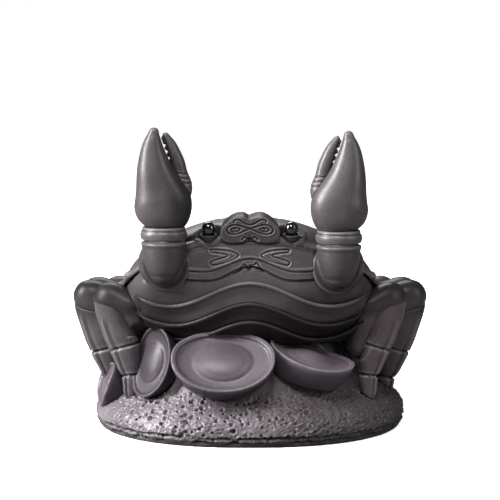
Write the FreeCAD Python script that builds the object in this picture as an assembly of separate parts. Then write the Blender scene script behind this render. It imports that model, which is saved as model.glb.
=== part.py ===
import FreeCAD, Part
import math
import os
from FreeCAD import Matrix, Vector

# Crab figurine in unglazed fired clay, about 117 mm wide, 87 mm deep and 100 mm tall.
# A hollow crab sits on a rock-textured foot with ingots pressed into it, claws raised, eyes of glass bead.
# Units are millimetres. The face looks along -Y, +Z is up, and left and right are as seen from the front.
# The origin is in the plane that the foot stands on, below the middle of the foot.
# Every piece is formed alone and luted to the next with slip, so mating faces share one surface.
# A name that ends in share or shares is a ratio of the size that it multiplies.

# Body: a bun that is flat in front, round behind and highest near the face
body_half_width = 41.5
body_half_depth = 33.5
body_centre_y = 1.0
body_bottom = 20.0
body_height = 50.0
body_wall = 4.5
carapace_lip = 1.1
# Place along the depth, then half width, top, bottom and widest level of each section of the body
body_shares = (
    (-1.0, 0.34, 0.78, 0.52, 0.64),
    (-0.975, 0.56, 0.865, 0.43, 0.62),
    (-0.90, 0.745, 0.925, 0.34, 0.58),
    (-0.77, 0.885, 0.97, 0.24, 0.52),
    (-0.47, 0.98, 1.0, 0.10, 0.45),
    (-0.03, 1.0, 0.98, 0.0, 0.39),
    (0.40, 0.945, 0.895, 0.0, 0.37),
    (0.70, 0.80, 0.775, 0.075, 0.38),
    (0.89, 0.585, 0.645, 0.17, 0.40),
    (0.98, 0.33, 0.53, 0.29, 0.41),
    (1.0, 0.16, 0.465, 0.36, 0.415),
)

# Rim where the carapace meets the bowl below it: an arch that runs down towards the back
rim_crown_z = 64.5
rim_arch_drop = 12.5
rim_arch_half_span = 44.0
rim_slope_share = 0.35

# Foot: a rock pad that rises to a mound under the body
foot_half_width = 51.7
foot_half_depth = 43.5
foot_height = 31.0
foot_squareness_share = 2.25
# Level, half width and half depth of each ring of the foot
foot_shares = (
    (0.0, 0.970, 0.966),
    (0.06, 0.992, 0.990),
    (0.145, 1.0, 1.0),
    (0.26, 0.965, 0.967),
    (0.36, 0.890, 0.897),
    (0.45, 0.815, 0.830),
    (0.55, 0.755, 0.775),
    (0.68, 0.690, 0.715),
    (0.84, 0.615, 0.640),
    (1.0, 0.540, 0.555),
)
# Chamber in the foot, and the floor luted in below it
chamber_half_width = 32.0
chamber_half_depth = 24.0
chamber_height = 7.0
chamber_angles = (0, 25, 48, 66, 80)
floor_thickness = 4.2
floor_inset = 0.8
floor_ledge = 1.8
floor_vent_radius = 1.5
body_vent_radius = 1.5

# Thin clay layers on the front of the bowl: how far each stands out, and half its span
face_layer = 1.3
face_half_span = 23.0
lip_layer = 0.8
lip_half_span = 22.2
belly_layer = 0.9
belly_layer_step = 0.7
belly_half_span = 37.0
layer_wrap = 14.0
# Crest, trough and place of the trough of the line at the lower edge of each face layer, and rise beyond it
face_line_shares = (0.79, 0.708, 0.352, 0.35)
lip_line_shares = (0.74, 0.65, 0.32, 0.30)
# The same for the upper edge of each belly layer
belly_line_shares = (
    (0.636, 0.478, 0.64, 2.6),
    (0.504, 0.346, 0.60, 2.0),
    (0.384, 0.242, 0.54, 2.0),
)
belly_end_share = 0.20
line_steps = 16

# Brow ornament between the eyes
brow_half_width = 9.5
brow_bottom_z = 64.2
brow_height = 8.7
brow_front_y = -34.2
brow_thickness = 12.0
brow_round = 0.8
# Right half of its outline, from the dip between the humps round to the notch below
brow_shares = (
    (0.16, 0.97),
    (0.34, 1.0),
    (0.56, 0.93),
    (0.80, 0.74),
    (0.98, 0.48),
    (0.97, 0.20),
    (0.74, 0.02),
    (0.42, 0.0),
    (0.16, 0.08),
)
brow_dip_share = 0.90
brow_notch_share = 0.22

# Eyes: a bead on a short stalk in a notch of the rim
bead_radius = 2.0
eye_x = 13.1
eye_y = -31.6
eye_z = 68.6
stalk_root_radius = 3.1
stalk_tip_radius = 2.3
stalk_length = 9.0
stalk_lean_share = 0.35
orbit_radius = 4.6
orbit_back = 1.2

# Arms: a shoulder lump on the body, a forearm that hangs in front of it, a collar, a palm and a finger
arm_x = 27.2
arm_y = -33.4
collar_z = 67.2
collar_height = 4.6
collar_half_width = 7.1
collar_half_depth = 6.6
neck_radius = 4.6
shoulder_half_width = 8.5
shoulder_half_depth = 9.0
shoulder_half_height = 8.8
shoulder_set_back = 6.4
shoulder_drop = 10.2
forearm_length = 13.4
forearm_half_width = 6.9
forearm_half_depth = 6.8
palm_length = 31.5
palm_half_width = 9.2
palm_half_depth = 6.9
finger_half_width = 2.3
finger_half_depth = 2.7
finger_back = 1.6
tooth_radius = 0.8
tooth_count = 6
right_arm_out = 0.8
right_arm_lower = 1.1
# Level and width of each section of the collar
collar_shares = ((0.0, 0.90), (0.16, 0.97), (0.5, 1.0), (0.84, 0.97), (1.0, 0.90))
# Way down, size and forward lean of each section of the forearm
forearm_shares = (
    (0.0, 0.93, 0.0),
    (0.16, 1.0, 0.06),
    (0.40, 1.0, 0.16),
    (0.60, 0.92, 0.25),
    (0.77, 0.76, 0.31),
    (0.89, 0.56, 0.34),
)
# Place across as a share of the half width, place up, half width and half depth of each section of the palm
palm_shares = (
    (0.0, 0.0, 0.66, 0.70),
    (0.01, 0.06, 0.85, 0.87),
    (0.0, 0.14, 0.96, 0.97),
    (-0.02, 0.24, 0.99, 1.0),
    (-0.08, 0.33, 0.92, 0.96),
    (-0.17, 0.42, 0.80, 0.87),
    (-0.25, 0.51, 0.69, 0.78),
    (-0.31, 0.60, 0.59, 0.68),
    (-0.345, 0.70, 0.485, 0.57),
    (-0.36, 0.79, 0.385, 0.46),
    (-0.34, 0.88, 0.27, 0.34),
    (-0.31, 0.945, 0.18, 0.23),
)
# The same for the finger, with its widths as shares of its own
finger_shares = (
    (0.60, 0.34, 1.45, 1.35),
    (0.66, 0.43, 1.25, 1.20),
    (0.58, 0.53, 1.0, 1.0),
    (0.50, 0.63, 0.96, 0.94),
    (0.37, 0.74, 0.84, 0.84),
    (0.22, 0.84, 0.66, 0.68),
    (0.10, 0.90, 0.46, 0.50),
)
tooth_span_shares = (0.42, 0.95)

# Legs: four a side, each a thigh that rises from the bowl and a shin that comes down to the foot
leg_reach = 53.5
leg_depth = 36.0
knee_height = 44.5
thigh_half_width = 5.3
thigh_half_depth = 5.5
shin_half_width = 5.3
shin_half_depth = 4.4
shin_step = 0.5
# Hip, bend of the thigh, knee, mid shin, ankle and toe of each leg: a place across, along the depth and up
leg_shares = (
    (
        (0.665, -0.50, 0.64),
        (0.735, -0.53, 0.925),
        (0.845, -0.47, 0.980),
        (0.760, -0.50, 0.635),
        (0.718, -0.53, 0.425),
        (0.724, -0.57, 0.265),
    ),
    (
        (0.660, -0.06, 0.62),
        (0.815, -0.03, 0.88),
        (0.995, 0.00, 0.935),
        (0.905, 0.00, 0.545),
        (0.850, 0.00, 0.325),
        (0.845, 0.00, 0.180),
    ),
    (
        (0.640, 0.30, 0.60),
        (0.800, 0.38, 0.85),
        (0.970, 0.44, 0.900),
        (0.890, 0.46, 0.530),
        (0.835, 0.46, 0.315),
        (0.830, 0.46, 0.170),
    ),
    (
        (0.530, 0.60, 0.60),
        (0.700, 0.76, 0.82),
        (0.850, 0.86, 0.855),
        (0.780, 0.88, 0.500),
        (0.735, 0.88, 0.300),
        (0.730, 0.88, 0.165),
    ),
)
# Size of a thigh at the hip, the bend and the knee, and of a shin at the knee, mid shin, ankle and toe
thigh_shares = (0.92, 1.0, 1.04)
shin_shares = (1.04, 0.97, 0.55, 0.38)
knee_drop_share = 0.35
# Way along each length of the shin, and how much of the step it swells there
shin_swell_shares = ((0.0, 0.0), (0.14, 0.55), (0.50, 0.80), (0.86, 0.55))

# Ingots: a boat with a raised rim at both ends and a dome in the middle
ingot_half_length = 17.0
ingot_half_width = 12.0
ingot_height = 10.5
ingot_rise = 2.2
ingot_rim = 1.6
ingot_pocket = 2.0
ingot_dome = 3.4
ingot_clear_height = 14.0
ingot_keel_share = 0.76
ingot_bilge_share = 0.93
ingot_bilge_level_share = 0.5
ingot_flare_share = 1.05
ingot_dome_share = 0.60
ingot_squareness_share = 2.1
# Middle of the rim as shares of the foot, heading, tilt and roll of the opening in degrees, and size
ingot_shares = {
    "front": ((-0.165, -0.865, 0.895), -90, 44, 0, 0.97),
    "front_right": ((0.385, -0.655, 0.890), -32, 71, -62, 0.83),
    "front_left": ((-0.625, -0.590, 0.790), -135, 18, 90, 0.69),
    "left": ((-0.935, -0.210, 0.450), -170, 20, 0, 0.62),
    "back_left": ((-0.420, 0.730, 0.790), 122, 44, 0, 0.92),
    "back_right": ((0.400, 0.740, 0.790), 60, 44, 0, 0.92),
}

ring_points = 20
end_angles = (38, 64, 82)
overrun = 30.0

X_AXIS = Vector(1, 0, 0)
Y_AXIS = Vector(0, 1, 0)
Z_AXIS = Vector(0, 0, 1)


def signed_power(value, power):
    return math.copysign(abs(value) ** power, value)


def smooth_wire(points):
    """One closed smooth curve through the points."""
    curve = Part.BSplineCurve()
    curve.interpolate(Points=points, PeriodicFlag=True)
    return Part.Wire([curve.toShape()])


def oval(centre, across, along, half_across, half_along, squareness=2.0):
    """A closed oval about centre: an ellipse at squareness 2, and closer to a box above that."""
    points = []
    for k in range(ring_points):
        angle = 2 * math.pi * k / ring_points
        u = half_across * signed_power(math.cos(angle), 2 / squareness)
        v = half_along * signed_power(math.sin(angle), 2 / squareness)
        points.append(centre + across * u + along * v)
    return smooth_wire(points)


def limb(stations, flat, squareness=2.2, round_start=True, round_end=True):
    """A limb through stations of (centre, half width, half depth), with its depth along flat."""
    centres = [s[0] for s in stations]
    tangents = []
    for k in range(len(centres)):
        before = centres[max(k - 1, 0)]
        after = centres[min(k + 1, len(centres) - 1)]
        tangents.append((after - before).normalize())
    rings = []
    centre, width, depth = stations[0]
    for degrees in end_angles[::-1]:
        angle = math.radians(degrees)
        if round_start:
            end = centre - tangents[0] * depth * math.sin(angle)
            rings.append((end, tangents[0], width * math.cos(angle), depth * math.cos(angle)))
    for (centre, width, depth), tangent in zip(stations, tangents):
        rings.append((centre, tangent, width, depth))
    for degrees in end_angles:
        angle = math.radians(degrees)
        if round_end:
            end = centre + tangents[-1] * depth * math.sin(angle)
            rings.append((end, tangents[-1], width * math.cos(angle), depth * math.cos(angle)))
    wires = []
    for centre, tangent, width, depth in rings:
        across = tangent.cross(flat).normalize()
        along = across.cross(tangent).normalize()
        wires.append(oval(centre, across, along, width, depth, squareness))
    return Part.makeLoft(wires, True, False)


def ellipsoid(centre, half_x, half_y, half_z):
    """A ball stretched to three half sizes, about centre."""
    matrix = Matrix()
    matrix.scale(half_x, half_y, half_z)
    ball = Part.makeSphere(1).transformGeometry(matrix)
    ball.translate(centre)
    return ball


def mirrored(shape):
    return shape.mirror(Vector(0, 0, 0), X_AXIS)


def cut_by(shape, neighbours):
    """The shape without what its neighbours take up, one after another."""
    for neighbour in neighbours:
        if shape.BoundBox.intersect(neighbour.BoundBox):
            shape = shape.cut(neighbour)
    return shape


def largest(shape):
    """The main solid of a shape, without the scraps that a cut leaves beside it."""
    return max(shape.Solids, key=lambda solid: solid.Volume)


def body_solid(offset):
    """The body's bun, grown by offset all round."""
    wires = []
    for place, width, top, bottom, widest in body_shares:
        middle = body_bottom + body_height * widest
        up = body_bottom + body_height * top + offset - middle
        down = middle - body_bottom - body_height * bottom + offset
        side = body_half_width * width + offset
        y = body_centre_y + (body_half_depth + offset) * place
        points = []
        for k in range(ring_points):
            angle = 2 * math.pi * k / ring_points
            height = up if k < ring_points / 2 else down
            points.append(Vector(side * math.cos(angle), y, middle + height * math.sin(angle)))
        wires.append(smooth_wire(points))
    return Part.makeLoft(wires, True, False)


def rim_block():
    """Everything above the rim of the carapace."""
    reach = rim_arch_half_span
    left = Vector(-reach, 0, rim_crown_z - rim_arch_drop)
    right = Vector(reach, 0, rim_crown_z - rim_arch_drop)
    top = rim_crown_z + overrun + overrun
    far_left = Vector(-reach - overrun, 0, left.z)
    far_right = Vector(reach + overrun, 0, right.z)
    corner_right = Vector(reach + overrun, 0, top)
    corner_left = Vector(-reach - overrun, 0, top)
    edges = [
        Part.LineSegment(far_left, left).toShape(),
        Part.Arc(left, Vector(0, 0, rim_crown_z), right).toShape(),
        Part.LineSegment(right, far_right).toShape(),
        Part.LineSegment(far_right, corner_right).toShape(),
        Part.LineSegment(corner_right, corner_left).toShape(),
        Part.LineSegment(corner_left, far_left).toShape(),
    ]
    face = Part.Face(Part.Wire(edges))
    front_y = body_centre_y - body_half_depth
    face.translate(Vector(0, front_y - overrun, rim_slope_share * overrun))
    run = 2 * body_half_depth + 2 * overrun
    return face.extrude(Vector(0, run, -rim_slope_share * run))


def front_line(shares, half_span):
    """A line across the front that crests in the middle and has a trough each side."""
    crest_share, trough_share, trough_x_share, end_share = shares
    crest = body_bottom + body_height * crest_share
    trough = body_bottom + body_height * trough_share
    trough_x = body_half_width * trough_x_share
    points = []
    for k in range(line_steps + 1):
        x = half_span * (2 * k / line_steps - 1)
        beyond = abs(x) / trough_x - 1
        swing = (1 + math.cos(math.pi * x / trough_x)) / 2 if beyond < 0 else end_share * beyond**2
        points.append(Vector(x, 0, trough + (crest - trough) * swing))
    curve = Part.BSplineCurve()
    curve.interpolate(points)
    return curve.toShape()


def level_line(z, half_span):
    return Part.LineSegment(Vector(-half_span, 0, z), Vector(half_span, 0, z)).toShape()


def front_layer(upper, lower, proud, under, neighbours):
    """A clay layer on the front of the bowl between two lines, trimmed to what it lies on and meets."""
    left = Part.LineSegment(upper.Vertexes[0].Point, lower.Vertexes[0].Point).toShape()
    right = Part.LineSegment(upper.Vertexes[-1].Point, lower.Vertexes[-1].Point).toShape()
    outline = Part.Wire(Part.sortEdges([upper, right, lower, left])[0])
    face = Part.Face(outline)
    front_y = body_centre_y - body_half_depth
    face.translate(Vector(0, front_y - overrun, 0))
    block = face.extrude(Vector(0, overrun + layer_wrap, 0))
    layer = cut_by(cut_by(block, under).common(body_solid(proud)), neighbours)
    return largest(layer)


def foot_solid():
    wires = []
    for level, width, depth in foot_shares:
        centre = Vector(0, 0, foot_height * level)
        half_width = foot_half_width * width
        half_depth = foot_half_depth * depth
        wires.append(oval(centre, X_AXIS, Y_AXIS, half_width, half_depth, foot_squareness_share))
    return Part.makeLoft(wires, True, False)


def oval_slab(bottom_z, top_z):
    """A level slab of the floor's outline."""
    half_width = chamber_half_width + floor_ledge
    half_depth = chamber_half_depth + floor_ledge
    wire = oval(Vector(0, 0, bottom_z), X_AXIS, Y_AXIS, half_width, half_depth, foot_squareness_share)
    return Part.Face(wire).extrude(Vector(0, 0, top_z - bottom_z))


def chamber_solid():
    """The hollow in the foot: a straight recess for the floor, with a domed roof above it."""
    floor_top = floor_inset + floor_thickness
    wires = []
    for degrees in chamber_angles:
        angle = math.radians(degrees)
        centre = Vector(0, 0, floor_top + chamber_height * math.sin(angle))
        half_width = chamber_half_width * math.cos(angle)
        half_depth = chamber_half_depth * math.cos(angle)
        wires.append(oval(centre, X_AXIS, Y_AXIS, half_width, half_depth, foot_squareness_share))
    return oval_slab(-overrun, floor_top).fuse(Part.makeLoft(wires, True, False))


def floor_solid():
    """The floor, set a little above the foot's edge, with its vent."""
    vent = Part.makeCylinder(floor_vent_radius, 2 * overrun, Vector(0, 0, -overrun))
    return oval_slab(floor_inset, floor_inset + floor_thickness).cut(vent)


def ingot_hull(size, inset):
    """The boat's outside from its keel to well above its rim, moved in by inset."""
    rings = (
        (-ingot_height * size, ingot_keel_share),
        (-ingot_height * size * ingot_bilge_level_share, ingot_bilge_share),
        (0, 1.0),
        (ingot_clear_height * size, ingot_flare_share),
    )
    wires = []
    for z, width in rings:
        half_length = ingot_half_length * size * width - inset
        half_width = ingot_half_width * size * width - inset
        wires.append(oval(Vector(0, 0, z), X_AXIS, Y_AXIS, half_length, half_width, ingot_squareness_share))
    return Part.makeLoft(wires, True, False)


def saddle(size, deeper):
    """The cylinder whose underside runs from one raised end to the other, lowered by deeper."""
    half_length = ingot_half_length * size
    rise = ingot_rise * size
    radius = (half_length**2 + rise**2) / (2 * rise)
    start = Vector(0, -overrun, radius - rise / 2)
    return Part.makeCylinder(radius + deeper, 2 * overrun, start, Y_AXIS)


def ingot_solid(size):
    """An ingot in its own frame, long along X, with the middle of its rim near the origin."""
    rise = ingot_rise * size
    pocket = ingot_hull(size, ingot_rim * size).common(saddle(size, ingot_pocket * size))
    dome_centre = Vector(0, 0, -rise / 2 - ingot_pocket * size)
    half_length = ingot_half_length * size * ingot_dome_share
    half_width = ingot_half_width * size * ingot_dome_share
    dome = ellipsoid(dome_centre, half_length, half_width, ingot_dome * size)
    return ingot_hull(size, 0).cut(saddle(size, 0)).cut(pocket).fuse(dome)


def set_ingot(shape, place, heading, tilt, roll):
    """Moves an ingot from its own frame to its place on the foot, opening along heading and tilt."""
    turned = shape.copy()
    turned.rotate(Vector(0, 0, 0), Z_AXIS, roll + 90)
    turned.rotate(Vector(0, 0, 0), Y_AXIS, 90 - tilt)
    turned.rotate(Vector(0, 0, 0), Z_AXIS, heading)
    x_share, y_share, z_share = place
    turned.translate(Vector(foot_half_width * x_share, foot_half_depth * y_share, foot_height * z_share))
    return turned


def brow_solid():
    """A plate with two humps above and a notch below."""
    right = [(x, z) for x, z in brow_shares]
    left = [(-x, z) for x, z in brow_shares[::-1]]
    outline = [(0, brow_dip_share)] + right + [(0, brow_notch_share)] + left
    points = []
    for x_share, z_share in outline:
        x = brow_half_width * x_share
        z = brow_bottom_z + brow_height * z_share
        points.append(Vector(x, brow_front_y, z))
    plate = Part.Face(smooth_wire(points)).extrude(Vector(0, brow_thickness, 0))
    front_edges = [e for e in plate.Edges if e.BoundBox.YMax < brow_front_y + brow_round]
    return plate.makeFillet(brow_round, front_edges)


def bead_solid(side):
    return Part.makeSphere(bead_radius, Vector(side * eye_x, eye_y, eye_z))


def stalk_solid(side):
    """A stub that leans forward and up out of the notch, to the middle of the bead."""
    tip = Vector(side * eye_x, eye_y, eye_z)
    direction = Vector(0, -stalk_lean_share, 1).normalize()
    root = tip - direction * stalk_length
    return Part.makeCone(stalk_root_radius, stalk_tip_radius, stalk_length, root, direction)


def orbit_solid(side):
    return Part.makeSphere(orbit_radius, Vector(side * eye_x, eye_y + orbit_back, eye_z))


def arm_point(inward, forward, z):
    """A point of the left arm: inward from the collar's middle, forward of it, and at height z."""
    return Vector(-arm_x + inward, arm_y - forward, z)


def shoulder_solid():
    centre = arm_point(0, -shoulder_set_back, collar_z - shoulder_drop)
    return ellipsoid(centre, shoulder_half_width, shoulder_half_depth, shoulder_half_height)


def forearm_solid():
    """An egg that narrows downwards, with a neck above it for the collar."""
    top = collar_z - collar_height / 2
    stations = []
    for down, size, forward in forearm_shares:
        centre = arm_point(0, forearm_half_depth * forward, top - forearm_length * down)
        stations.append((centre, forearm_half_width * size, forearm_half_depth * size))
    egg = limb(stations, Y_AXIS, 2.0, False, True)
    neck = Part.makeCylinder(neck_radius, collar_height, arm_point(0, 0, top))
    return egg.fuse(neck)


def collar_solid():
    """A rolled band round the neck."""
    bottom = collar_z - collar_height / 2
    wires = []
    for level, size in collar_shares:
        centre = arm_point(0, 0, bottom + collar_height * level)
        wires.append(oval(centre, X_AXIS, Y_AXIS, collar_half_width * size, collar_half_depth * size))
    hole = Part.makeCylinder(neck_radius, 2 * overrun, arm_point(0, 0, bottom - overrun))
    return Part.makeLoft(wires, True, False).cut(hole)


def claw_stations(table, half_width, half_depth, back):
    """Sections of a palm or a finger from its table."""
    bottom = collar_z + collar_height / 2
    stations = []
    for across, up, width, depth in table:
        centre = arm_point(palm_half_width * across, -back, bottom + palm_length * up)
        stations.append((centre, half_width * width, half_depth * depth))
    return stations


def palm_solid():
    stations = claw_stations(palm_shares, palm_half_width, palm_half_depth, 0)
    return limb(stations, Y_AXIS, 2.15, False, True)


def finger_solid():
    """The thin inner finger, with a row of teeth on the side of the gape."""
    stations = claw_stations(finger_shares, finger_half_width, finger_half_depth, finger_back)
    finger = limb(stations, Y_AXIS, 2.1, True, True)
    first, last = tooth_span_shares
    teeth = []
    for k in range(tooth_count):
        spot = first + (last - first) * k / (tooth_count - 1)
        centre, half_width = along_stations(stations, spot)
        teeth.append(Part.makeSphere(tooth_radius, centre - X_AXIS * half_width))
    return finger.fuse(teeth)


def along_stations(stations, share):
    """The centre and half width at a share of the way through the stations."""
    place = share * (len(stations) - 1)
    k = min(int(place), len(stations) - 2)
    way = place - k
    centre = stations[k][0] * (1 - way) + stations[k + 1][0] * way
    half_width = stations[k][1] * (1 - way) + stations[k + 1][1] * way
    return centre, half_width


def leg_point(place):
    """A point of a left leg from its shares."""
    across, along, up = place
    return Vector(-leg_reach * across, leg_depth * along, knee_height * up)


def leg_flat(places):
    """The level direction square to a leg's bend."""
    run = leg_point(places[2]) - leg_point(places[0])
    return Vector(run.x, run.y, 0).normalize().cross(Z_AXIS)


def thigh_solid(places):
    """The thigh, which climbs from the bowl and bends over to the knee."""
    hip, bend, knee = [leg_point(place) for place in places[:3]]
    centres = (hip, (hip + bend) / 2, bend, (bend + knee) / 2, knee)
    low, middle, high = thigh_shares
    sizes = (low, (low + middle) / 2, middle, (middle + high) / 2, high)
    stations = []
    for centre, size in zip(centres, sizes):
        stations.append((centre, thigh_half_width * size, thigh_half_depth * size))
    return limb(stations, leg_flat(places), 2.3, True, True)


def shin_solid(places):
    """The shin from the knee down, with a scored joint between its lengths."""
    points = [leg_point(place) for place in places[2:]]
    points[0] = points[0] - Z_AXIS * thigh_half_width * knee_drop_share
    stations = []
    for k in range(len(points) - 1):
        for way, swell in shin_swell_shares:
            centre = points[k] * (1 - way) + points[k + 1] * way
            size = shin_shares[k] * (1 - way) + shin_shares[k + 1] * way
            width = shin_half_width * size + shin_step * swell
            depth = shin_half_depth * size + shin_step * swell
            stations.append((centre, width, depth))
    stations.append((points[-1], shin_half_width * shin_shares[-1], shin_half_depth * shin_shares[-1]))
    return limb(stations, leg_flat(places), 2.3, True, True)


def export(name, shape):
    """Writes one node and says what it holds."""
    box = shape.BoundBox
    size = f"{box.XLength:7.2f}{box.YLength:7.2f}{box.ZLength:7.2f}"
    print(f"{name:20s} solids {len(shape.Solids)} valid {shape.isValid()} volume {shape.Volume:9.1f} box {size}")
    shape.exportStep(f"parts/{name}.step")


def main():
    os.makedirs("parts", exist_ok=True)
    parts = {}
    rim = rim_block()
    bun = body_solid(0)
    cap = body_solid(carapace_lip).common(rim)
    foot = foot_solid()
    hollow = body_solid(-body_wall)
    orbits = [orbit_solid(-1), orbit_solid(1)]
    body_vent = Part.makeCylinder(body_vent_radius, body_bottom + 2 * body_wall)
    parts["carapace"] = cut_by(cap, [hollow] + orbits)
    parts["bowl"] = cut_by(bun, [rim, hollow, body_vent] + orbits)

    brow = brow_solid()
    parts["brow_plate"] = cut_by(brow, [bun, cap])
    stalks = []
    for side, name in ((-1, "left"), (1, "right")):
        bead = bead_solid(side)
        stalk = stalk_solid(side)
        stalks.append(stalk)
        parts[f"eye_bead_{name}"] = bead
        parts[f"eye_stalk_{name}"] = cut_by(stalk, [parts["carapace"], parts["bowl"], bead])

    left_arm = {
        "shoulder": shoulder_solid(),
        "forearm": forearm_solid(),
        "collar": collar_solid(),
        "palm": palm_solid(),
    }
    left_arm["palm"] = cut_by(left_arm["palm"], [left_arm["forearm"]])
    left_arm["collar"] = cut_by(left_arm["collar"], [left_arm["forearm"], left_arm["palm"]])
    left_arm["finger"] = cut_by(finger_solid(), [left_arm["palm"]])
    shoulders = []
    for name in ("left", "right"):
        arm = {piece: shape.copy() for piece, shape in left_arm.items()}
        if name == "right":
            arm = {piece: mirrored(shape) for piece, shape in arm.items()}
            for shape in arm.values():
                shape.translate(Vector(right_arm_out, 0, -right_arm_lower))
        shoulders.append(arm["shoulder"])
        arm["forearm"] = cut_by(arm["forearm"], [arm["shoulder"], bun, cap])
        arm["shoulder"] = cut_by(arm["shoulder"], [arm["collar"], bun, cap])
        for piece, shape in arm.items():
            parts[f"{piece}_{name}"] = shape

    hulls = {}
    for name, (place, heading, tilt, roll, size) in ingot_shares.items():
        hulls[name] = set_ingot(ingot_hull(size, 0), place, heading, tilt, roll)
    legs = []
    for number, places in enumerate(leg_shares, 1):
        left_thigh = thigh_solid(places)
        left_shin = shin_solid(places)
        right_thigh = mirrored(left_thigh)
        right_shin = mirrored(left_shin)
        for name, thigh, shin in (("left", left_thigh, left_shin), ("right", right_thigh, right_shin)):
            if (number, name) == (1, "left"):
                thigh = largest(cut_by(thigh, [hulls["front_left"]]))
            parts[f"thigh_{number}_{name}"] = cut_by(thigh, [bun, cap, foot])
            parts[f"shin_{number}_{name}"] = cut_by(shin, [thigh, foot, bun])
            legs += [thigh, shin]

    ingots = []
    for name, (place, heading, tilt, roll, size) in ingot_shares.items():
        ingot = set_ingot(ingot_solid(size), place, heading, tilt, roll)
        parts[f"ingot_{name}"] = cut_by(ingot, [bun] + ingots + legs)
        ingots.append(ingot)
    parts["foot"] = cut_by(foot, [bun, chamber_solid(), body_vent] + list(hulls.values()))
    parts["floor"] = floor_solid()

    under = [rim, bun]
    neighbours = [brow, foot] + orbits + stalks + shoulders + legs + ingots
    face_top = level_line(rim_crown_z + body_wall, face_half_span)
    face_line = front_line(face_line_shares, face_half_span)
    parts["face_plate"] = front_layer(face_top, face_line, face_layer, under, neighbours)
    lip_top = front_line(face_line_shares, lip_half_span)
    lip_line = front_line(lip_line_shares, lip_half_span)
    parts["lip_plate"] = front_layer(lip_top, lip_line, lip_layer, under, neighbours)
    belly_lines = [front_line(shares, belly_half_span) for shares in belly_line_shares]
    belly_lines.append(level_line(body_bottom + body_height * belly_end_share, belly_half_span))
    for k, name in enumerate(("upper", "middle", "lower")):
        proud = belly_layer + belly_layer_step * k
        layer = front_layer(belly_lines[k], belly_lines[k + 1], proud, under, neighbours)
        parts[f"belly_plate_{name}"] = layer

    for name, shape in parts.items():
        export(name, shape)


main()
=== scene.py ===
import math

import bmesh
import bpy
import numpy as np
from mathutils import Matrix, Vector, noise


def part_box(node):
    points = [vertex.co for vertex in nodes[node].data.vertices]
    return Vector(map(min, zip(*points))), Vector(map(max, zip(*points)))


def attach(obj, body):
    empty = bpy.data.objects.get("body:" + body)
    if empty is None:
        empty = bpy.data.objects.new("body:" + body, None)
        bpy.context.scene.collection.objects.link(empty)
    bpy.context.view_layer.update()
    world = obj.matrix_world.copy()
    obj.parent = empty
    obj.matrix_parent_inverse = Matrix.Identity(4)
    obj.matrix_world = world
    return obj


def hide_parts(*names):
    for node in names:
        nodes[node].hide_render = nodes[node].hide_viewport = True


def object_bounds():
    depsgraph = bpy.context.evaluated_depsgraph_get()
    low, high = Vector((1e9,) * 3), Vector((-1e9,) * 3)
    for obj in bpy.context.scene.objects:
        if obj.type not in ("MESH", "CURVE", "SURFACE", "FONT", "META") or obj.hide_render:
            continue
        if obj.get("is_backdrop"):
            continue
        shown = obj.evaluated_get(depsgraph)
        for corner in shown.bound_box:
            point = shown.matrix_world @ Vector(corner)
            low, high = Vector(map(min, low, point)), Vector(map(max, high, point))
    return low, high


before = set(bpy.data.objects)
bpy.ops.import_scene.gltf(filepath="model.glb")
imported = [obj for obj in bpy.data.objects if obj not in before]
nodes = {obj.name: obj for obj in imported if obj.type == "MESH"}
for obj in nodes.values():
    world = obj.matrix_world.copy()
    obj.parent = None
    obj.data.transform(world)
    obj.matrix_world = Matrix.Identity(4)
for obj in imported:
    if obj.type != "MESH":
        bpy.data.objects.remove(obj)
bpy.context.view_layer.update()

# ---- Camera, light and table
# The figurine stands on a plain white table in a soft studio light that comes from the upper left.
# The camera is 650 mm away and a little above the crab's face.

mm = 0.001
scene = bpy.context.scene
scene.view_settings.view_transform = "Standard"

camera_away = 650 * mm
camera_rise = math.radians(9)
camera_tip = math.radians(0.62)
aim_height = 50 * mm
camera_data = bpy.data.cameras.new("camera")
camera_data.sensor_width = 36
camera_data.lens = 140.4
camera_data.clip_start = 10 * mm
camera = bpy.data.objects.new("camera", camera_data)
camera.location = (
    0,
    -camera_away * math.cos(camera_rise),
    aim_height + camera_away * math.sin(camera_rise),
)
camera.rotation_euler = (math.radians(90) - camera_rise + camera_tip, 0, 0)
scene.collection.objects.link(camera)
scene.camera = camera


def softbox(name, place, aim, size, power):
    """A rectangular studio light, with its place, aim and size in metres and its power in watts."""
    data = bpy.data.lights.new(name, "AREA")
    data.shape = "RECTANGLE"
    data.size, data.size_y = size
    data.energy = power
    lamp = bpy.data.objects.new(name, data)
    lamp.location = place
    lamp.rotation_euler = (Vector(aim) - Vector(place)).to_track_quat("-Z", "Y").to_euler()
    scene.collection.objects.link(lamp)


softbox("key_light", (-0.62, -0.20, 0.38), (0, 0, 0.05), (0.22, 0.45), 14.2)
softbox("edge_light", (0.55, -0.35, 0.35), (0, 0, 0.05), (0.20, 0.45), 1.6)
softbox("back_light", (-0.10, 0.60, 0.50), (0, 0, 0.06), (0.40, 0.25), 2.0)
softbox("top_light", (-0.10, -0.42, 0.66), (0, -0.01, 0.04), (0.30, 0.25), 3.9)

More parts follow.
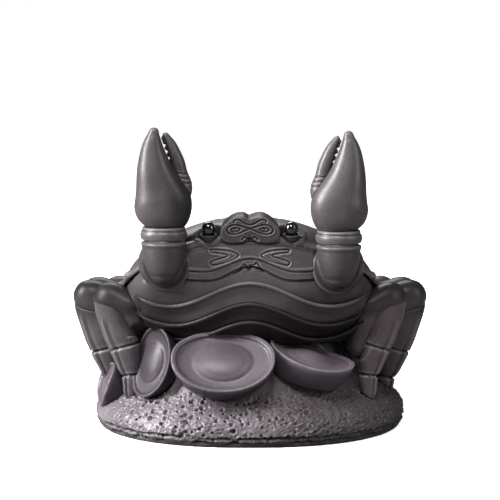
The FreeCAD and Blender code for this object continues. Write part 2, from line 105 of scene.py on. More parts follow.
world = bpy.data.worlds.new("studio")
scene.world = world
world.use_nodes = True
tree = world.node_tree
tree.nodes.clear()
world_out = tree.nodes.new("ShaderNodeOutputWorld")
mix = tree.nodes.new("ShaderNodeMixShader")
seen = tree.nodes.new("ShaderNodeBackground")
seen.inputs["Color"].default_value = (1, 1, 1, 1)
seen.inputs["Strength"].default_value = 1.0
dim = tree.nodes.new("ShaderNodeBackground")
dim.inputs["Color"].default_value = (0.95, 0.97, 1.0, 1)
dim.inputs["Strength"].default_value = 0.055
path = tree.nodes.new("ShaderNodeLightPath")
tree.links.new(path.outputs["Is Camera Ray"], mix.inputs["Fac"])
tree.links.new(dim.outputs[0], mix.inputs[1])
tree.links.new(seen.outputs[0], mix.inputs[2])
tree.links.new(mix.outputs[0], world_out.inputs["Surface"])

table_reach = 800 * mm
bm = bmesh.new()
bmesh.ops.create_grid(bm, x_segments=2, y_segments=2, size=table_reach)
table_mesh = bpy.data.meshes.new("table")
bm.to_mesh(table_mesh)
bm.free()
table = bpy.data.objects.new("table", table_mesh)
scene.collection.objects.link(table)
table_finish = bpy.data.materials.new("table")
table_finish.use_nodes = True
tree = table_finish.node_tree
paper = tree.nodes["Principled BSDF"]
paper.inputs["Roughness"].default_value = 0.8
fibre = tree.nodes.new("ShaderNodeTexNoise")
fibre.inputs["Scale"].default_value = 60
where = tree.nodes.new("ShaderNodeTexCoord")
tree.links.new(where.outputs["Object"], fibre.inputs["Vector"])
fibre_ramp = tree.nodes.new("ShaderNodeValToRGB")
fibre_ramp.color_ramp.elements[0].color = (0.80, 0.80, 0.80, 1)
fibre_ramp.color_ramp.elements[1].color = (0.86, 0.86, 0.86, 1)
tree.links.new(fibre.outputs["Fac"], fibre_ramp.inputs["Fac"])
tree.links.new(fibre_ramp.outputs["Color"], paper.inputs["Base Color"])
glow = tree.nodes.new("ShaderNodeEmission")
glow.inputs["Strength"].default_value = 0.80
dull = tree.nodes.new("ShaderNodeBsdfDiffuse")
dull.inputs["Color"].default_value = (0.22, 0.22, 0.22, 1)
blend = tree.nodes.new("ShaderNodeAddShader")
only_seen = tree.nodes.new("ShaderNodeMixShader")
path = tree.nodes.new("ShaderNodeLightPath")
surface = tree.nodes["Material Output"]
tree.links.new(paper.outputs[0], blend.inputs[0])
tree.links.new(glow.outputs[0], blend.inputs[1])
tree.links.new(path.outputs["Is Camera Ray"], only_seen.inputs["Fac"])
tree.links.new(dull.outputs[0], only_seen.inputs[1])
tree.links.new(blend.outputs[0], only_seen.inputs[2])
tree.links.new(only_seen.outputs[0], surface.inputs["Surface"])
table_mesh.materials.append(table_finish)
table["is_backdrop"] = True

# ---- Rock foot
# A hollow pad of clay that rises to a mound under the crab, its skirt rough like weathered rock.
# The wet clay was stippled with a stiff brush and a pointed stick, and the mound was smoothed.


def worked_copy(node, grain, rounds, added=None):
    """A closed, even copy of a solid and any clay added to it, its edges softened like wet clay."""
    bm = bmesh.new()
    bm.from_mesh(nodes[node].data)
    bmesh.ops.remove_doubles(bm, verts=bm.verts, dist=1e-6)
    if added:
        bm.from_mesh(added)
    mesh = bpy.data.meshes.new(node)
    bm.to_mesh(mesh)
    bm.free()
    holder = bpy.data.objects.new(node + "_work", mesh)
    scene.collection.objects.link(holder)
    even = holder.modifiers.new("even", "REMESH")
    even.mode = "VOXEL"
    even.voxel_size = grain
    bpy.context.view_layer.update()
    depsgraph = bpy.context.evaluated_depsgraph_get()
    done = bpy.data.meshes.new_from_object(holder.evaluated_get(depsgraph))
    bpy.data.objects.remove(holder)
    bm = bmesh.new()
    bm.from_mesh(done)
    for _ in range(rounds):
        bmesh.ops.smooth_vert(
            bm, verts=bm.verts, factor=0.5, use_axis_x=True, use_axis_y=True, use_axis_z=True
        )
    bm.to_mesh(done)
    bm.free()
    return done


def points_of(mesh):
    """The mesh's points in millimetres and its normals, as two tables."""
    count = len(mesh.vertices)
    place = np.empty(count * 3)
    facing = np.empty(count * 3)
    mesh.vertices.foreach_get("co", place)
    mesh.vertex_normals.foreach_get("vector", facing)
    return place.reshape(-1, 3) / mm, facing.reshape(-1, 3)


def move_to(mesh, place):
    """Puts the mesh's points at these places in millimetres."""
    mesh.vertices.foreach_set("co", (place * mm).ravel())
    mesh.update()


def push(mesh, lift):
    """Moves each point of the mesh along its normal by its own lift in millimetres."""
    place, facing = points_of(mesh)
    move_to(mesh, place + facing * lift[:, None])


def bump(value, width):
    """A soft hill that is 1 where the value is 0 and has gone by twice its width."""
    return np.exp(-((value / width) ** 2))


def ramp(value, low, high):
    """A soft step from 0 at low to 1 at high."""
    share = np.clip((value - low) / (high - low), 0, 1)
    return share * share * (3 - 2 * share)


def mark_edges(mesh):
    """Writes how far each point stands out from its neighbours, for the finish's lit, worn edges
    and shaded hollows.
    """
    place, facing = points_of(mesh)
    pairs = np.empty(len(mesh.edges) * 2, dtype=np.int64)
    mesh.edges.foreach_get("vertices", pairs)
    a, b = pairs[0::2], pairs[1::2]
    count = np.bincount(pairs, minlength=len(place))

    def of_neighbours(value):
        near = np.bincount(a, value[b], len(place)) + np.bincount(b, value[a], len(place))
        return near / np.maximum(count, 1)

    middle = np.stack([of_neighbours(place[:, axis]) for axis in range(3)], axis=1)
    length = np.linalg.norm(place[a] - place[b], axis=1).mean()
    stand = ((place - middle) * facing).sum(1) / length**2
    for _ in range(2):
        stand = 0.5 * stand + 0.5 * of_neighbours(stand)
    layer = mesh.attributes.new("edge", "FLOAT", "POINT")
    layer.data.foreach_set("value", np.clip(0.5 + 1.1 * stand, 0, 1))


def settle(mesh, name, finish, node, smoke_and_shade=0.0):
    """Makes the mesh the piece shown for a node, with its finish and a darkening from 0 to 1,
    partly kiln smoke and partly painted shade.
    """
    mark_edges(mesh)
    layer = mesh.attributes.new("smoke_and_shade", "FLOAT", "POINT")
    layer.data.foreach_set("value", np.clip(np.zeros(len(mesh.vertices)) + smoke_and_shade, 0, 1))
    mesh.name = name
    mesh.materials.clear()
    mesh.materials.append(finish)
    mesh.polygons.foreach_set("use_smooth", np.ones(len(mesh.polygons), dtype=bool))
    piece = bpy.data.objects.new(name, mesh)
    scene.collection.objects.link(piece)
    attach(piece, "root")
    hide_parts(node)


def clay(name, dark, light, worn_and_lit, rough, grain, pits, warm):
    """Fired clay with a satin skin, mottled from dark to light, its edges lightened as wear and
    painted highlight.

    Grain and pits are the strengths of its fine and coarse bumps, and warm that of its iron red.
    """
    finish = bpy.data.materials.new(name)
    finish.use_nodes = True
    tree = finish.node_tree
    skin = tree.nodes["Principled BSDF"]
    where = tree.nodes.new("ShaderNodeTexCoord")

    def field(scale, detail, roughness=0.5):
        node = tree.nodes.new("ShaderNodeTexNoise")
        node.inputs["Scale"].default_value = scale
        node.inputs["Detail"].default_value = detail
        node.inputs["Roughness"].default_value = roughness
        tree.links.new(where.outputs["Object"], node.inputs["Vector"])
        return node.outputs["Fac"]

    def span(value, low, high, to_low=0.0, to_high=1.0):
        node = tree.nodes.new("ShaderNodeMapRange")
        node.inputs["From Min"].default_value = low
        node.inputs["From Max"].default_value = high
        node.inputs["To Min"].default_value = to_low
        node.inputs["To Max"].default_value = to_high
        tree.links.new(value, node.inputs["Value"])
        return node.outputs["Result"]

    def colours(share, first, second):
        node = tree.nodes.new("ShaderNodeMix")
        node.data_type = "RGBA"
        for value, slot in ((first, 6), (second, 7)):
            if isinstance(value, tuple):
                node.inputs[slot].default_value = (*value, 1)
            else:
                tree.links.new(value, node.inputs[slot])
        tree.links.new(share, node.inputs[0])
        return node.outputs[2]

    cloud = span(field(38, 4, 0.6), 0.35, 0.68)
    body = colours(cloud, dark, light)
    ember = span(field(17, 2), 0.48, 0.70, 0.0, warm)
    body = colours(ember, body, (1.0 * light[0], 0.64 * light[1], 0.54 * light[2]))
    speck = span(field(2600, 2, 0.6), 0.60, 0.74, 0.0, 0.45)
    body = colours(speck, body, tuple(min(1.0, 1.9 * c) for c in light))
    dust = span(field(1500, 3, 0.5), 0.40, 0.28, 0.0, 0.5)
    body = colours(dust, body, tuple(0.45 * c for c in dark))
    edge = tree.nodes.new("ShaderNodeAttribute")
    edge.attribute_name = "edge"
    # Convex edges are lightened: partly wear, partly painted highlight.
    rubbed_and_lit = span(edge.outputs["Fac"], 0.60, 1.0, 0.0, 0.55)
    body = colours(rubbed_and_lit, body, worn_and_lit)
    # The darkening is partly kiln smoke and partly painted shade; it also dulls the shine.
    smoke_and_shade = tree.nodes.new("ShaderNodeAttribute")
    smoke_and_shade.attribute_name = "smoke_and_shade"
    smoked_and_shaded = span(smoke_and_shade.outputs["Fac"], 0.0, 1.0, 0.0, 0.90)
    body = colours(smoked_and_shaded, body, tuple(0.32 * c for c in dark))
    # Hollows and creases are darkened as painted shade.
    hollow_shade = span(edge.outputs["Fac"], 0.42, 0.10, 0.0, 0.65)
    body = colours(hollow_shade, body, tuple(0.3 * c for c in dark))
    tree.links.new(body, skin.inputs["Base Color"])
    sheen = span(field(170, 3, 0.6), 0.30, 0.70, rough - 0.05, rough + 0.07)
    tree.links.new(sheen, skin.inputs["Roughness"])
    shine = span(smoke_and_shade.outputs["Fac"], 0.0, 1.0, 0.45, 0.15)
    tree.links.new(shine, skin.inputs["Specular IOR Level"])
    fine = tree.nodes.new("ShaderNodeBump")
    fine.inputs["Strength"].default_value = grain
    fine.inputs["Distance"].default_value = 0.00012
    tree.links.new(field(1900, 4, 0.65), fine.inputs["Height"])
    coarse = tree.nodes.new("ShaderNodeBump")
    coarse.inputs["Strength"].default_value = pits
    coarse.inputs["Distance"].default_value = 0.0005
    tree.links.new(field(420, 5, 0.6), coarse.inputs["Height"])
    tree.links.new(fine.outputs["Normal"], coarse.inputs["Normal"])
    tree.links.new(coarse.outputs["Normal"], skin.inputs["Normal"])
    return finish


rock_clay = clay(
    "rock_clay",
    dark=(0.092, 0.079, 0.089),
    light=(0.210, 0.186, 0.205),
    worn_and_lit=(0.52, 0.49, 0.51),
    rough=0.33,
    grain=0.5,
    pits=0.35,
    warm=0.2,
)
rock = worked_copy("foot", 0.68 * mm, 1)
skirt_top, skirt_back = 18 * mm, 8 * mm
bm = bmesh.new()
bm.from_mesh(rock)
front_skirt = [
    edge
    for edge in bm.edges
    if all(
        point.normal.z > -0.5
        and 0.3 * mm < point.co.z < skirt_top
        and point.co.y < skirt_back
        and point.co.x * point.normal.x + point.co.y * point.normal.y > 0
        for point in edge.verts
    )
]
bmesh.ops.subdivide_edges(bm, edges=front_skirt, cuts=1, use_grid_fill=True)
bmesh.ops.triangulate(bm, faces=bm.faces)
bm.to_mesh(rock)
bm.free()
place, facing = points_of(rock)
pits = np.zeros(len(place))
swell = np.zeros(len(place))
streaks = np.zeros(len(place))
stick_marks = {"large": (2.1, 0.80, 0.0), "small": (1.45, 0.54, 40.0)}  # spacing, radius, shift
unmarked_share = 0.30
for k, point in enumerate(place):
    if point[2] < 0.6:
        continue
    at = Vector(point)
    swell[k] = noise.noise(at * 0.16) * 0.7 + noise.noise(at * 0.45) * 0.45
    for spacing, radius, shift in stick_marks.values():
        near, spots = noise.voronoi(at / spacing + Vector((shift, shift, shift)))
        chosen = noise.cell(spots[0] * 7.3)
        gap = near[0] * spacing / (radius * (0.75 + 0.5 * chosen))
        if chosen > unmarked_share:
            burr = 0.20 * math.exp(-(((gap - 1.35) / 0.4) ** 2))
            pits[k] += burr - 0.80 * math.exp(-(gap**4))
    pits[k] += 0.22 * noise.noise(at * 1.3)
    # The brush was drawn down and to the right, so its streaks are long that way.
    scored_at = Vector((0.5 * (at.x + at.z), 0.5 * at.y, 1.5 * at.z - 0.9 * at.x))
    streaks[k] = noise.noise(scored_at) - 0.5 * abs(noise.noise(scored_at * 1.9))
pits *= (1 - 0.75 * ramp(-place[:, 0], 36, 46)) * (1 - 0.55 * ramp(place[:, 0], 2, 26))
pits += 0.55 * streaks * ramp(place[:, 0], -4, 22)
skirt = 1 - ramp(place[:, 2] + 1.6 * swell, 13.0, 17.5)
above_table = ramp(place[:, 2], 0.9, 3.0)
# The chamber and the standing ring stay as they were cut.
chamber = np.array([34.5, 26.5, 13.0])
hidden = (np.abs(place) < chamber).all(axis=1) | (facing[:, 2] < -0.6)
lift = (pits * (0.12 + 0.88 * skirt) + swell * (0.20 + 0.35 * skirt) - 0.12) * above_table
groove = bump(place[:, 2] - 3.0 - 0.9 * swell, 0.42) * ramp(swell, -0.45, 0.2)
lower_groove = bump(place[:, 2] - 1.5 + 0.8 * swell, 0.36) * ramp(-swell, -0.35, 0.2)
groove = np.maximum(groove, lower_groove)
lift -= 1.1 * groove
lift[hidden] = 0
push(rock, lift)
# Painted shade: darker in the grooves, towards the right away from the key light, and along the
# bottom.
smoke_and_shade = 0.9 * groove + 0.90 * ramp(place[:, 0], -42, 55) + 0.8 * ramp(4.0 - place[:, 2], 0, 3.4)
settle(rock, "rock_foot", rock_clay, "foot", smoke_and_shade)

# ---- Floor
# A slab of the same clay, cut to the foot's chamber and luted in a little above the standing ring.
# It stays as it was cut, with a hole that lets the steam out in the kiln.

nodes["floor"].data.materials.clear()
nodes["floor"].data.materials.append(rock_clay)

# ---- Ingots
# Boat-shaped ingots pressed into the wet rock, each with a raised rim and a domed middle.
# They are moulded, fettled and rubbed smooth.

ingot_clay = clay(
    "ingot_clay",
    dark=(0.074, 0.060, 0.073),
    light=(0.122, 0.101, 0.121),
    worn_and_lit=(0.24, 0.21, 0.23),
    rough=0.36,
    grain=0.25,
    pits=0.08,
    warm=0.1,
)
half_length, half_width, sheer, rim_drop = 17.0, 12.0, 2.2, 1.1
rim_radius = (half_length**2 + sheer**2) / (2 * sheer)
# Each ingot's middle in mm, its heading, tilt and roll in degrees, its size, how much darker it is
# painted, and how far its dome is pressed down as a share of the dome's height.
ingot_places = {
    "front": ((-8.5, -37.6, 27.7), -90, 44, 0, 0.97, 0.30, 0.25),
    "front_right": ((19.9, -28.5, 27.6), -32, 71, -62, 0.83, 0.0, -0.35),
    "front_left": ((-32.3, -25.7, 24.5), -135, 18, 90, 0.69, 0.80, 0.25),
    "left": ((-48.3, -9.1, 14.0), -170, 20, 0, 0.62, 0.0, 0.1),
    "back_left": ((-21.7, 31.8, 24.5), 122, 44, 0, 0.92, 0.1, 0.1),
    "back_right": ((20.7, 32.2, 24.5), 60, 44, 0, 0.92, 0.1, 0.1),
}
for name, (middle, heading, tilt, roll, size, smoke_and_shade, sunk) in ingot_places.items():
    ingot = worked_copy("ingot_" + name, 0.34 * mm, 5)
    place, _ = points_of(ingot)
    turn = Matrix.Rotation(math.radians(heading), 3, "Z")
    turn @= Matrix.Rotation(math.radians(90 - tilt), 3, "Y")
    turn @= Matrix.Rotation(math.radians(roll + 90), 3, "Z")
    turn = np.array(turn)
    own = (place - np.array(middle)) @ turn / size
    rim = rim_radius - rim_drop - np.sqrt(rim_radius**2 - np.clip(own[:, 0], -20, 20) ** 2)
    outward = np.hypot(own[:, 0] / half_length, own[:, 1] / half_width)
    depth = rim - own[:, 2]
    within = (1 - ramp(outward, 0.93, 0.97)) * (1 - ramp(depth, 2.4, 2.9))
    own[:, 2] += within * np.where(depth > 0, 0.52, sunk) * depth
    move_to(ingot, own * size @ turn.T + np.array(middle))
    # The walls below the rim are darkened as painted shadow.
    smoke_and_shade = smoke_and_shade + 0.65 * (1 - within) * ramp(depth, 0.6, 3.0)
    settle(ingot, "boat_ingot_" + name, ingot_clay, "ingot_" + name, smoke_and_shade)

# ---- Bowl of the body
# The lower shell of the body, pressed in a mould and scraped smooth.
# The outline of the mouth is scored into its front, where the layers of the face leave it bare.

body_clay = clay(
    "body_clay",
    dark=(0.046, 0.039, 0.043),
    light=(0.090, 0.078, 0.084),
    worn_and_lit=(0.20, 0.182, 0.190),
    rough=0.36,
    grain=0.25,
    pits=0.08,
    warm=0.6,
)


def line_gap(place, points):
    """How far each point lies from a scored line, seen from the front and eased at its corners."""
    line = np.array(points, dtype=float)
    for _ in range(2):
        near, far = 0.75 * line[:-1] + 0.25 * line[1:], 0.25 * line[:-1] + 0.75 * line[1:]
        line = np.concatenate([line[:1], np.stack([near, far], axis=1).reshape(-1, 2), line[-1:]])
    best = np.full(len(place), 1e9)
    at = place[:, (0, 2)]
    for start, end in zip(line[:-1], line[1:]):
        run = end - start
        share = np.clip(((at - start) @ run) / (run @ run), 0, 1)
        gap = np.linalg.norm(at - start - share[:, None] * run, axis=1)
        best = np.minimum(best, gap)
    return best


def scored(mesh, lines, width, depth, lip=0.0):
    """Presses lines into the front of a mesh, with a burr of clay raised beside each."""
    place, facing = points_of(mesh)
    front = ramp(-facing[:, 1], 0.1, 0.4)
    gap = np.full(len(place), 1e9)
    for line in lines:
        gap = np.minimum(gap, line_gap(place, line))
    push(mesh, front * (lip * bump(gap - 2.2 * width, width) - depth * bump(gap, width)))


def mirrored(line):
    """The same line on the other side of the face."""
    return [(-x, z) for x, z in line]


def wave(x, crest, trough, trough_x, rise):
    """The height of a line that crests in the middle of the front and has a trough each side."""
    x = np.abs(x)
    inner = trough + (crest - trough) * (1 + np.cos(np.pi * x / trough_x)) / 2
    outer = trough + (crest - trough) * rise * (x / trough_x - 1) ** 2
    return np.where(x < trough_x, inner, outer)


eye_middle = (13.1, -30.4, 68.6)


def eye_gap(place):
    """How far each point lies from the middle of the eye on its side."""
    across = np.abs(place[:, 0]) - eye_middle[0]
    return np.sqrt(
        across**2 + (place[:, 1] - eye_middle[1]) ** 2 + (place[:, 2] - eye_middle[2]) ** 2
    )


def socket_lip(place):
    """A soft lip of clay pressed up round each eye."""
    return 0.6 * bump(eye_gap(place) - 5.3, 0.7)


def socket_shade(place):
    """The painted shade in each eye socket."""
    return 0.9 * (1 - ramp(eye_gap(place), 4.2, 6.2))


face_wave = (59.5, 55.4, 14.6, 0.35)
lip_wave = (57.0, 52.5, 13.28, 0.30)
mouth = [
    [(-5.2, 54.2), (-3.2, 55.6), (-1.9, 57.4)],
    [(-1.9, 57.4), (-1.2, 56.9), (-0.6, 55.3), (-0.1, 55.4), (0.1, 57.0)],
    [(0.1, 57.0), (1.6, 57.0), (2.0, 58.2), (2.7, 57.0), (4.2, 55.0)],
]
bowl = worked_copy("bowl", 0.52 * mm, 2)
place, facing = points_of(bowl)
front = ramp(-facing[:, 1], 0.1, 0.5)
under_lip = bump(place[:, 2] - wave(place[:, 0], *lip_wave) + 0.3, 0.5)
under_lip *= np.abs(place[:, 0]) < 24
corner_gap = np.linalg.norm(np.abs(place) - np.array([33, 29, 51]), axis=1)
corner_lump = 1.5 * bump(corner_gap, 5) * (place[:, 1] < 0)
push(bowl, front * (socket_lip(place) - 0.55 * under_lip) + corner_lump)
scored(bowl, mouth, 0.35, 0.5)
# Painted shade: darker towards the bottom, and in the eye sockets.
smoke_and_shade = np.maximum(0.45 * ramp(52 - place[:, 2], 0, 6), socket_shade(place))
settle(bowl, "clay_bowl", body_clay, "bowl", smoke_and_shade)

# ---- Carapace
# The upper shell, laid over the bowl with a rolled rim, and small spines pinched up along the rim.
# The furrows on its back are drawn with a blunt tool.


def rim_height(place):
    """The height of the joint between carapace and bowl: arched across, and lower to the back."""
    arch_radius, front_height, front_y, fall = 83.7, 64.5, -32.5, 0.35
    arch = np.sqrt(arch_radius**2 - np.clip(place[:, 0], -80, 80) ** 2) - arch_radius
    return front_height + arch - fall * (place[:, 1] - front_y)


shell = worked_copy("carapace", 0.52 * mm, 2)
place, facing = points_of(shell)
outer = ((place - np.array([0, 1, 45])) * facing).sum(1) > 0
height = place[:, 2] - rim_height(place)
bearing = np.degrees(np.arctan2(np.abs(place[:, 0]), -(place[:, 1] - 1)))
rolled = 0.65 * bump(height - 1.3, 1.2) - 0.45 * bump(height - 3.6, 0.8)
spine_bearings = (62, 74, 86, 98, 112)
spines = 1.1 * bump(height - 1.2, 1.1) * sum(bump(bearing - spine, 2.2) for spine in spine_bearings)
back = ramp(facing[:, 2], 0.2, 0.5)
x, y = place[:, 0], place[:, 1]
furrows = bump(np.abs(x) - 9 - 0.018 * (y - 2) ** 2, 0.8) * ramp(14 - np.abs(y - 2), 0, 4)
furrows += bump(y - 2 - 0.03 * x**2, 0.8) * ramp(9.5 - np.abs(x), 0, 2)
furrows += 0.8 * bump(y + 12 - 0.012 * x**2, 0.9) * ramp(22 - np.abs(x), 0, 5)
sunk = 1.5 * ramp(height, 6, 16)
furrows = 0.6 * back * np.clip(furrows, 0, 1)
push(shell, outer * (rolled + spines + socket_lip(place) - furrows - sunk))
# Painted shade under the rolled rim and in the eye sockets.
smoke_and_shade = np.maximum(socket_shade(place), 0.9 * ramp(-height, -0.8, 0.3))
settle(shell, "clay_carapace", body_clay, "carapace", smoke_and_shade)

# ---- Face
# Two thin layers of the same clay, pressed on wet over the front of the bowl, one over the other.
# They are scored with a curl on each side and, lower down, with the mouth.

arrow = [
    [
        (-12.6, 61.9), (-12.0, 62.2), (-6.6, 61.9), (-4.0, 60.9),
        (-3.4, 60.2), (-5.2, 58.8), (-8.2, 57.8), (-12.0, 57.1),
    ],
    [
        (-12.0, 57.1), (-12.7, 57.9), (-12.2, 58.5), (-9.0, 59.4),
        (-6.4, 60.3), (-8.6, 60.9), (-12.3, 61.3),
    ],
]
face = worked_copy("face_plate", 0.22 * mm, 1)
scored(face, arrow + [mirrored(line) for line in arrow], 0.24, 0.5, 0.12)
place, facing = points_of(face)
front = ramp(-facing[:, 1], 0.1, 0.5)
ends = ramp(np.abs(place[:, 0]), 19.5, 23.0)
lower_edge = 0.2 * bump(place[:, 2] - wave(place[:, 0], *face_wave) - 0.5, 0.4)
push(face, front * (socket_lip(place) + lower_edge - 1.2 * ends))
# Painted shade just under the carapace rim and in the eye sockets.
smoke_and_shade = np.maximum(0.6 * ramp(place[:, 2] - rim_height(place), -2.0, -0.8), socket_shade(place))
settle(face, "clay_face_layer", body_clay, "face_plate", smoke_and_shade)

lip = worked_copy("lip_plate", 0.24 * mm, 1)
place, facing = points_of(lip)
front = ramp(-facing[:, 1], 0.1, 0.5)
ends = ramp(np.abs(place[:, 0]), 19.0, 22.2)
under_face = bump(place[:, 2] - wave(place[:, 0], *face_wave) + 0.25, 0.35)
push(lip, front * (-0.45 * under_face - 0.7 * ends))
scored(lip, mouth, 0.30, 0.6, 0.15)
settle(lip, "clay_lip_layer", body_clay, "lip_plate")

# ---- Belly
# Three overlapping layers of clay, laid on the front of the bowl while it was still wet.
# Their upper edges are rolled up into lips, and the lower ones are darkened as painted shade.

# Each layer's upper edge as a wave, and the painted shade on it.
belly_waves = {
    "upper": (51.8, 43.9, 26.56, 2.6, 0.35),
    "middle": (45.2, 37.3, 24.9, 2.0, 1.0),
    "lower": (39.2, 32.1, 22.41, 2.0, 1.0),
}
for name, (*line, smoke_and_shade) in belly_waves.items():
    band = worked_copy("belly_plate_" + name, 0.30 * mm, 1)
    place, facing = points_of(band)
    front = ramp(-facing[:, 1], -0.1, 0.4)
    down = wave(place[:, 0], *line) - place[:, 2]
    rolled = 0.5 * bump(down - 0.6, 0.6) - 0.5 * bump(down - 4.0, 2.0)
    ends = ramp(np.abs(place[:, 0]), 33.0, 37.0)
    push(band, front * rolled - 0.8 * ends)
    # More painted shade towards the left end.
    smoke_and_shade = smoke_and_shade + 0.5 * ramp(-place[:, 0], 18, 28)
    settle(band, "clay_belly_" + name, body_clay, "belly_plate_" + name, smoke_and_shade)

# ---- Brow
# An ornament between the eyes, pressed in a small mould and luted on with slip.
# It is a double scroll with a cloud curl on each hump, its lines deepened with a point.

scroll = [
    (0.0, 68.9), (-2.3, 69.6), (-4.5, 70.2), (-6.4, 69.8), (-7.5, 68.6),
    (-7.0, 67.5), (-5.2, 67.0), (-3.2, 67.5), (-1.6, 68.3), (0.0, 68.9),
]
inner_loop = [
    (-2.9, 68.6), (-4.2, 69.2), (-5.4, 69.1), (-6.1, 68.4),
    (-5.3, 67.8), (-4.2, 67.9), (-2.9, 68.6),
]
curl = [(0.0, 70.1), (-1.4, 70.4), (-2.7, 71.3), (-3.8, 71.9), (-5.4, 71.3), (-5.0, 70.9)]
notch = [(-2.6, 65.3), (-1.7, 66.4), (-0.9, 66.0), (-0.7, 65.0)]
brow = worked_copy("brow_plate", 0.19 * mm, 2)
lines = [scroll, inner_loop, curl, notch]
scored(brow, lines + [mirrored(line) for line in lines], 0.22, 0.5, 0.12)
place, facing = points_of(brow)
pit = np.hypot(np.abs(place[:, 0]) - 4.7, place[:, 2] - 68.5)
push(brow, -0.6 * bump(pit, 0.4) * ramp(-facing[:, 1], 0.1, 0.5))
settle(brow, "clay_brow", body_clay, "brow_plate", 0.35)

# ---- Eyes
# Glossy black glass beads, each glued into the cup of a clay stalk.
# The stalks are pinched out of the body clay, and painted darker at the foot than at the cup, as
# shade in the socket.

stalk_waist = 64.5
for side, out in (("left", -eye_middle[0]), ("right", eye_middle[0])):
    node = "eye_stalk_" + side
    stalk = worked_copy(node, 0.22 * mm, 2)
    place, _ = points_of(stalk)
    cup = ramp(place[:, 2], stalk_waist, 67.0)
    place[:, 0] = out + (place[:, 0] - out) * (1 + 0.10 * cup)
    place[:, 2] -= 0.42 * np.maximum(place[:, 2] - stalk_waist, 0)
    move_to(stalk, place)
    settle(stalk, "clay_" + node, body_clay, node, 0.5 + 0.4 * (1 - cup))

bead_glass = bpy.data.materials.new("bead_glass")
bead_glass.use_nodes = True
tree = bead_glass.node_tree
glaze = tree.nodes["Principled BSDF"]
glaze.inputs["Roughness"].default_value = 0.06
glaze.inputs["Coat Weight"].default_value = 1.0
glaze.inputs["Coat Roughness"].default_value = 0.03
where = tree.nodes.new("ShaderNodeTexCoord")
swirl = tree.nodes.new("ShaderNodeTexNoise")
swirl.inputs["Scale"].default_value = 900
tree.links.new(where.outputs["Object"], swirl.inputs["Vector"])
swirl_ramp = tree.nodes.new("ShaderNodeValToRGB")
swirl_ramp.color_ramp.elements[0].color = (0.003, 0.003, 0.004, 1)
swirl_ramp.color_ramp.elements[1].color = (0.009, 0.009, 0.010, 1)
tree.links.new(swirl.outputs["Fac"], swirl_ramp.inputs["Fac"])
tree.links.new(swirl_ramp.outputs["Color"], glaze.inputs["Base Color"])
bead_growth = 1.10
for side in ("left", "right"):
    node = "eye_bead_" + side
    low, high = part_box(node)
    bead_radius = bead_growth * (high.x - low.x) / 2
    bm = bmesh.new()
    bmesh.ops.create_uvsphere(bm, u_segments=64, v_segments=32, radius=bead_radius)
    bmesh.ops.translate(bm, verts=bm.verts, vec=(low + high) / 2)
    bead = bpy.data.meshes.new("bead")
    bm.to_mesh(bead)
    bm.free()
    settle(bead, "glass_bead_" + side, bead_glass, node)

# ---- Arms
# Shoulder, forearm, rolled collar, palm and finger, each modelled by hand and luted to the next.
# The collars are two rolls of clay pressed together, and the finger's root is nicked with a knife.

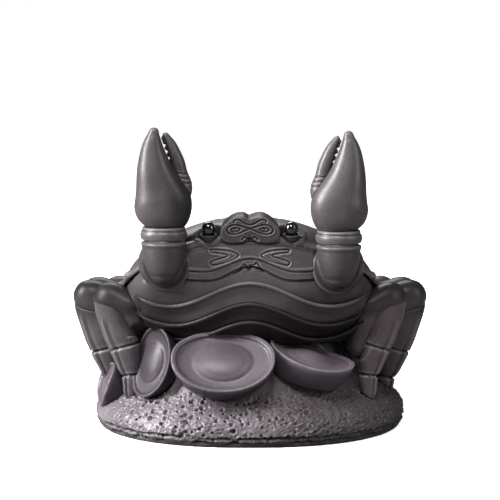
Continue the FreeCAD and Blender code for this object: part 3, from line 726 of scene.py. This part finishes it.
# The middle of each arm from side to side, and how much lower than the left one it was set.
arms = {"left": (-27.2, 0.0), "right": (28.0, 1.1)}
forearm_y, forearm_radius, forearm_tip = -35.0, 6.4, 51.0
collar_y, collar_level = -33.4, 67.2
egg_levels = (51, 51.4, 52, 53, 54, 56, 58, 60, 62, 65)
egg_radii = (0.3, 1.7, 2.5, 3.6, 4.4, 5.4, 6.1, 6.6, 6.8, 6.9)
row_height = 0.4
nick_levels = (83.4, 84.9, 86.4)
for side, (out, lower) in arms.items():
    shoulder = worked_copy("shoulder_" + side, 0.34 * mm, 3)
    place, facing = points_of(shoulder)
    # The inner side is fuller, with a lip round the egg of the forearm's end, and painted shade in
    # the gap.
    drop = np.minimum(place[:, 2] + lower - 58, 0) * 0.9
    gap = np.sqrt((place[:, 0] - out) ** 2 + (place[:, 1] - forearm_y) ** 2 + drop**2)
    gap -= forearm_radius
    inner = ramp((place[:, 0] - out) * (-1 if out > 0 else 1), -6, 1)
    fuller = 0.9 * ramp(-facing[:, 1], -0.3, 0.3) * ramp(62 - place[:, 2], 0, 4)
    push(shoulder, inner * (fuller + 0.7 * bump(gap - 1.0, 0.7)))
    smoke_and_shade = 0.2 + 0.8 * bump(gap, 0.8)
    settle(shoulder, "clay_shoulder_" + side, body_clay, "shoulder_" + side, smoke_and_shade)

    # The lower end of the forearm is let down to its tip and rolled to an egg, row by row.
    forearm = worked_copy("forearm_" + side, 0.32 * mm, 8)
    place, _ = points_of(forearm)
    level = place[:, 2] + lower
    stretch = (55 - forearm_tip) / (55 - level.min())
    level = np.where(level < 55, 55 - (55 - level) * stretch, level)
    rows = np.round((level - forearm_tip) / row_height).astype(int)
    count = rows.max() + 1
    wide = np.zeros(count)
    np.maximum.at(wide, rows, np.abs(place[:, 0] - out))
    near, far = np.full(count, 1e9), np.full(count, -1e9)
    np.minimum.at(near, rows, place[:, 1])
    np.maximum.at(far, rows, place[:, 1])
    filled = wide > 0
    row_levels = (forearm_tip + row_height * np.arange(count))[filled]
    radius = np.interp(level, row_levels, wide[filled])
    centre = np.interp(level, row_levels, ((near + far) / 2)[filled])
    share = np.interp(level, egg_levels, egg_radii) / np.maximum(radius, 0.3)
    share = np.where(level < 64.9, np.minimum(share, 1.05), 1)
    place[:, 0] = out + (place[:, 0] - out) * share
    place[:, 1] = centre + (place[:, 1] - centre) * share
    place[:, 2] = level - lower
    move_to(forearm, place)
    push(forearm, 0.3 * bump(level - 64.3, 0.7))
    # Darker all over, and darker still towards the tip as painted shade.
    smoke_and_shade = 0.45 + 0.4 * ramp(56 - level, 0, 4)
    settle(forearm, "clay_forearm_" + side, body_clay, "forearm_" + side, smoke_and_shade)

    collar = worked_copy("collar_" + side, 0.26 * mm, 2)
    place, _ = points_of(collar)
    outside = np.hypot(place[:, 0] - out, place[:, 1] - collar_y) > 5.2
    height = place[:, 2] + lower - collar_level
    rolls = 0.3 * bump(height + 0.3, 1.6) + 0.1 * bump(height - 2.0, 0.4)
    seams = 0.22 * bump(height - 1.3, 0.35) + 0.6 * bump(height + 2.2, 0.45)
    push(collar, outside * (rolls - seams))
    settle(collar, "clay_collar_" + side, body_clay, "collar_" + side)

    # The left palm is a little darker all over, and darker still on the side turned to the body as
    # painted shade.
    palm = worked_copy("palm_" + side, 0.34 * mm, 4)
    place, _ = points_of(palm)
    smoke_and_shade = 0.15 + 0.65 * ramp(place[:, 0], -27, -21) if side == "left" else 0
    settle(palm, "clay_palm_" + side, body_clay, "palm_" + side, smoke_and_shade)

    finger = worked_copy("finger_" + side, 0.22 * mm, 1)
    place, facing = points_of(finger)
    front = ramp(-facing[:, 1], 0.0, 0.4)
    nicks = sum(bump(place[:, 2] + lower - level, 0.35) for level in nick_levels)
    push(finger, -0.25 * nicks * front)
    settle(finger, "clay_finger_" + side, body_clay, "finger_" + side)

# ---- Legs
# Four a side. The joints of each shin are scored all round, and a ridge is pinched along it.
# The front shins are made up to their full roundness with two tapered rolls of clay.

# The knee, the two joints and the toe of each shin on the left, in mm.
shins = {
    1: ((-45.2, -16.9, 42.0), (-40.7, -18.0, 28.3), (-38.4, -19.1, 18.9), (-38.7, -20.5, 11.8)),
    2: ((-53.2, 0.0, 40.0), (-48.4, 0.0, 24.3), (-45.5, 0.0, 14.5), (-45.2, 0.0, 8.0)),
    3: ((-51.9, 15.8, 38.5), (-47.6, 16.6, 23.6), (-44.7, 16.6, 14.0), (-44.4, 16.6, 7.6)),
    4: ((-45.5, 31.0, 36.5), (-41.7, 31.7, 22.3), (-39.3, 31.7, 13.4), (-39.1, 31.7, 7.3)),
}
# From which joint to which each roll runs, its two radii, and how far it goes past the knee.
shin_rolls = ((0, 1, 5.3, 4.5, 2.2), (1, 2, 4.3, 3.1, 0.0))
for side, sign in (("left", 1), ("right", -1)):
    for number, joints in shins.items():
        node = f"thigh_{number}_{side}"
        thigh = worked_copy(node, 0.40 * mm, 4)
        place, _ = points_of(thigh)
        if number == 1:
            place[:, 1] += 2.8 * ramp(44 - place[:, 2], 0, 6)
            move_to(thigh, place)
        knee = ramp(place[:, 2], 38, 46)
        smoke_and_shade = 0.35 + 0.65 * knee if side == "left" else 0.9 * knee
        settle(thigh, "clay_" + node, body_clay, node, smoke_and_shade)

        node = f"shin_{number}_{side}"
        joints = np.array(joints) * [sign, 1, 1]
        rolls = None
        if number == 1:
            bm = bmesh.new()
            for start, end, wide, narrow, past in shin_rolls:
                top, foot = Vector(joints[start]), Vector(joints[end])
                along = (top - foot).normalized()
                turn = along.to_track_quat("Z", "Y").to_matrix().to_4x4()
                bmesh.ops.create_cone(
                    bm,
                    cap_ends=True,
                    segments=64,
                    radius1=narrow,
                    radius2=wide,
                    depth=(top - foot).length + past,
                    matrix=Matrix.Translation((top + foot + past * along) / 2) @ turn,
                )
            bmesh.ops.scale(bm, verts=bm.verts, vec=(mm, mm, mm))
            rolls = bpy.data.meshes.new("rolls")
            bm.to_mesh(rolls)
            bm.free()
        shin = worked_copy(node, 0.32 * mm, 2, rolls)
        place, _ = points_of(shin)
        lift = np.zeros(len(place))
        for before, joint, after in zip(joints[:-2], joints[1:-1], joints[2:]):
            along = (after - before) / np.linalg.norm(after - before)
            step = (place - joint) @ along
            lift += 0.10 * bump(np.abs(step) - 0.9, 0.5) - 0.70 * bump(step, 0.32)
        knee_level, toe_level = joints[0][2], joints[-1][2]
        level = np.clip(place[:, 2], toe_level, knee_level)
        from_toe = joints[::-1]
        across = place[:, 0] - np.interp(level, from_toe[:, 2], from_toe[:, 0])
        forward = np.interp(level, from_toe[:, 2], from_toe[:, 1]) - place[:, 1]
        bearing = np.degrees(np.arctan2(forward, -sign * across))
        below_knee = ramp(knee_level - place[:, 2], 3.0, 7.0)
        lift += below_knee * (0.45 * bump(bearing - 38, 6) - 0.32 * bump(bearing - 53, 7))
        push(shin, lift * ramp(place[:, 2], toe_level - 1, toe_level + 2))
        knee_smoke = 0.0 if number == 1 else 0.9
        smoke_and_shade = knee_smoke * ramp(place[:, 2], knee_level - 7, knee_level)
        settle(shin, "clay_" + node, body_clay, node, smoke_and_shade)

low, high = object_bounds()
